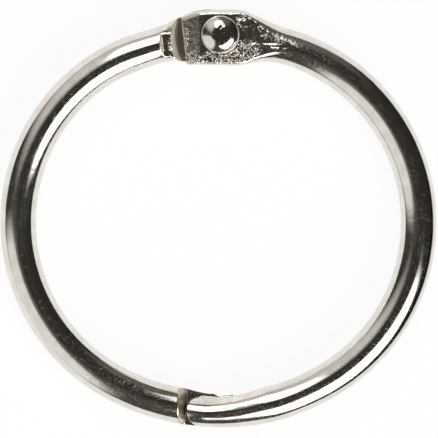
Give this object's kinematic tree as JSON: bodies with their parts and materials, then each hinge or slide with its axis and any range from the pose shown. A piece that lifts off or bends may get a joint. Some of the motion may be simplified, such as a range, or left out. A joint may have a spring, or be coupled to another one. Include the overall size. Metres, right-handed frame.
{
  "type": "binder ring",
  "caption": "Snap-closing binder ring of bent plated wire: halves hinge on a rivet through flattened ears and lap at the closure, to hold punched sheets.",
  "frame": {"origin": "the middle of the loop, on the plane where the halves lap", "axes": "+X across the ring towards the half that turns, +Y towards the hinge rivet, +Z along the rivet towards its domed head"},
  "size_m": [0.038, 0.0365, 0.0037],
  "materials": {
    "left_wire": "bright nickel plating",
    "right_wire": "bright nickel plating",
    "rivet": "bright nickel plating"
  },
  "bodies": {
    "left_half": {"left_half_ring": "left_wire", "hinge_rivet": "rivet"},
    "right_half": {"right_half_ring": "right_wire"}
  },
  "joints": [
    {"name": "ring_hinge", "type": "hinge", "parent": "left_half", "child": "right_half", "pos_m": [0, 0.01634, 0], "axis": [0, 0, 1], "range_deg": [0, 136]}
  ]
}
